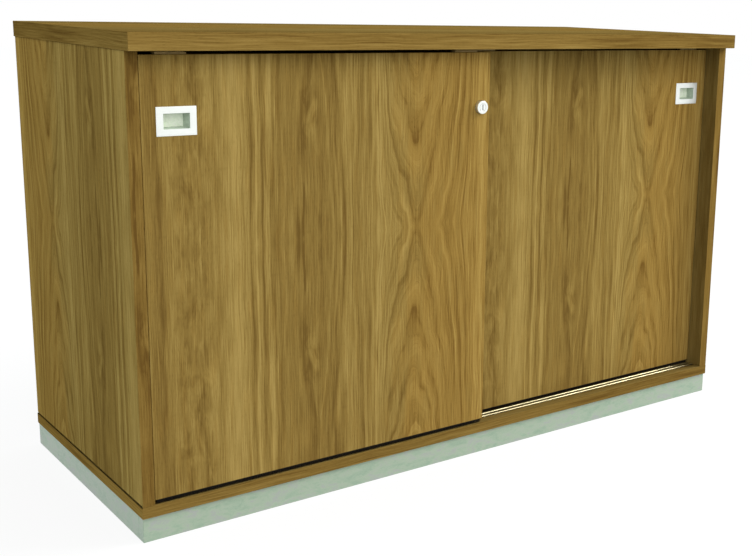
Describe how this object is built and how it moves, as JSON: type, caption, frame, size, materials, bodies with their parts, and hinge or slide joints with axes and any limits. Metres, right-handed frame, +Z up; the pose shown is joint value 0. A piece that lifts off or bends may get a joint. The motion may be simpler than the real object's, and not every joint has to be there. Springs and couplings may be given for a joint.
{
  "type": "sliding door cabinet",
  "caption": "Low cupboard whose veneered doors slide past each other on floor rails, with flush pulls, a push lock, a divider, shelves and a plinth.",
  "frame": {"origin": "on the floor, at the middle of the footprint", "axes": "+X to the right seen from the front, +Y to the back, +Z up; the doors face -Y"},
  "size_m": [1.2, 0.5, 0.73],
  "materials": {
    "walnut_veneer": "satin lacquered walnut-coloured veneer, grain upright on the doors and sides",
    "plinth_laminate": "satin pale grey-green metal-look laminate on board",
    "rail_aluminium": "satin anodised, finely ribbed along its length",
    "black_plastic": "matt moulded or extruded plastic",
    "nylon": "matt natural nylon",
    "brown_plastic": "matt brown moulded plastic",
    "zinc_plated_steel": "bright zinc plate",
    "pale_zinc_casting": "satin, almost white silver lacquer on a zinc casting"
  },
  "bodies": {
    "carcass": {"top_panel": "walnut_veneer", "bottom_panel": "walnut_veneer", "left_side": "walnut_veneer", "right_side": "walnut_veneer", "back_panel": "walnut_veneer", "centre_divider": "walnut_veneer", "left_shelf": "walnut_veneer", "right_shelf": "walnut_veneer", "left_shelf_pin_outer_front": "zinc_plated_steel", "left_shelf_pin_outer_rear": "zinc_plated_steel", "left_shelf_pin_inner_front": "zinc_plated_steel", "left_shelf_pin_inner_rear": "zinc_plated_steel", "right_shelf_pin_inner_front": "zinc_plated_steel", "right_shelf_pin_inner_rear": "zinc_plated_steel", "right_shelf_pin_outer_front": "zinc_plated_steel", "right_shelf_pin_outer_rear": "zinc_plated_steel", "plinth_front": "plinth_laminate", "plinth_back": "plinth_laminate", "plinth_left": "plinth_laminate", "plinth_right": "plinth_laminate", "plinth_block_front_left": "walnut_veneer", "plinth_block_front_right": "walnut_veneer", "plinth_block_back_left": "walnut_veneer", "plinth_block_back_right": "walnut_veneer", "outer_floor_rail": "rail_aluminium", "inner_floor_rail": "rail_aluminium", "top_channel": "black_plastic"},
    "outer_door": {"outer_door_panel": "walnut_veneer", "outer_pull": "pale_zinc_casting", "outer_left_top_guide": "brown_plastic", "outer_left_wheel_carrier": "black_plastic", "outer_left_wheel_axle": "zinc_plated_steel", "outer_right_top_guide": "brown_plastic", "outer_right_wheel_carrier": "black_plastic", "outer_right_wheel_axle": "zinc_plated_steel", "lock_housing": "black_plastic"},
    "inner_door": {"inner_door_panel": "walnut_veneer", "inner_pull": "pale_zinc_casting", "inner_left_top_guide": "brown_plastic", "inner_left_wheel_carrier": "black_plastic", "inner_left_wheel_axle": "zinc_plated_steel", "inner_right_top_guide": "brown_plastic", "inner_right_wheel_carrier": "black_plastic", "inner_right_wheel_axle": "zinc_plated_steel", "strike_bush": "zinc_plated_steel"},
    "outer_left_wheel": {"outer_left_wheel": "nylon"},
    "outer_right_wheel": {"outer_right_wheel": "nylon"},
    "inner_left_wheel": {"inner_left_wheel": "nylon"},
    "inner_right_wheel": {"inner_right_wheel": "nylon"},
    "lock_barrel": {"lock_barrel": "pale_zinc_casting"},
    "key_plug": {"key_plug": "pale_zinc_casting"}
  },
  "joints": [
    {"name": "outer_door_slide", "type": "slide", "parent": "carcass", "child": "outer_door", "axis": [1, 0, 0], "range_m": [0, 0.56]},
    {"name": "inner_door_slide", "type": "slide", "parent": "carcass", "child": "inner_door", "axis": [1, 0, 0], "range_m": [-0.56, 0]},
    {"name": "lock_push", "type": "slide", "parent": "outer_door", "child": "lock_barrel", "axis": [0, 1, 0], "range_m": [0, 0.006], "stiffness_N_per_m": 250},
    {"name": "key_turn", "type": "hinge", "parent": "lock_barrel", "child": "key_plug", "pos_m": [-0.003, -0.23, 0.61], "axis": [0, 1, 0], "range_deg": [0, 90]},
    {"name": "outer_left_wheel_spin", "type": "hinge", "parent": "outer_door", "child": "outer_left_wheel", "pos_m": [-0.5325, -0.204, 0.06325], "axis": [0, 1, 0], "continuous": true},
    {"name": "outer_right_wheel_spin", "type": "hinge", "parent": "outer_door", "child": "outer_right_wheel", "pos_m": [-0.0315, -0.204, 0.06325], "axis": [0, 1, 0], "continuous": true},
    {"name": "inner_left_wheel_spin", "type": "hinge", "parent": "inner_door", "child": "inner_left_wheel", "pos_m": [0.0315, -0.1705, 0.06325], "axis": [0, 1, 0], "continuous": true},
    {"name": "inner_right_wheel_spin", "type": "hinge", "parent": "inner_door", "child": "inner_right_wheel", "pos_m": [0.5325, -0.1705, 0.06325], "axis": [0, 1, 0], "continuous": true}
  ],
  "couplings": [
    {"joint": "outer_left_wheel_spin", "follows": "outer_door_slide", "rad_per_m": 111.11},
    {"joint": "outer_right_wheel_spin", "follows": "outer_door_slide", "rad_per_m": 111.11},
    {"joint": "inner_left_wheel_spin", "follows": "inner_door_slide", "rad_per_m": 111.11},
    {"joint": "inner_right_wheel_spin", "follows": "inner_door_slide", "rad_per_m": 111.11}
  ]
}
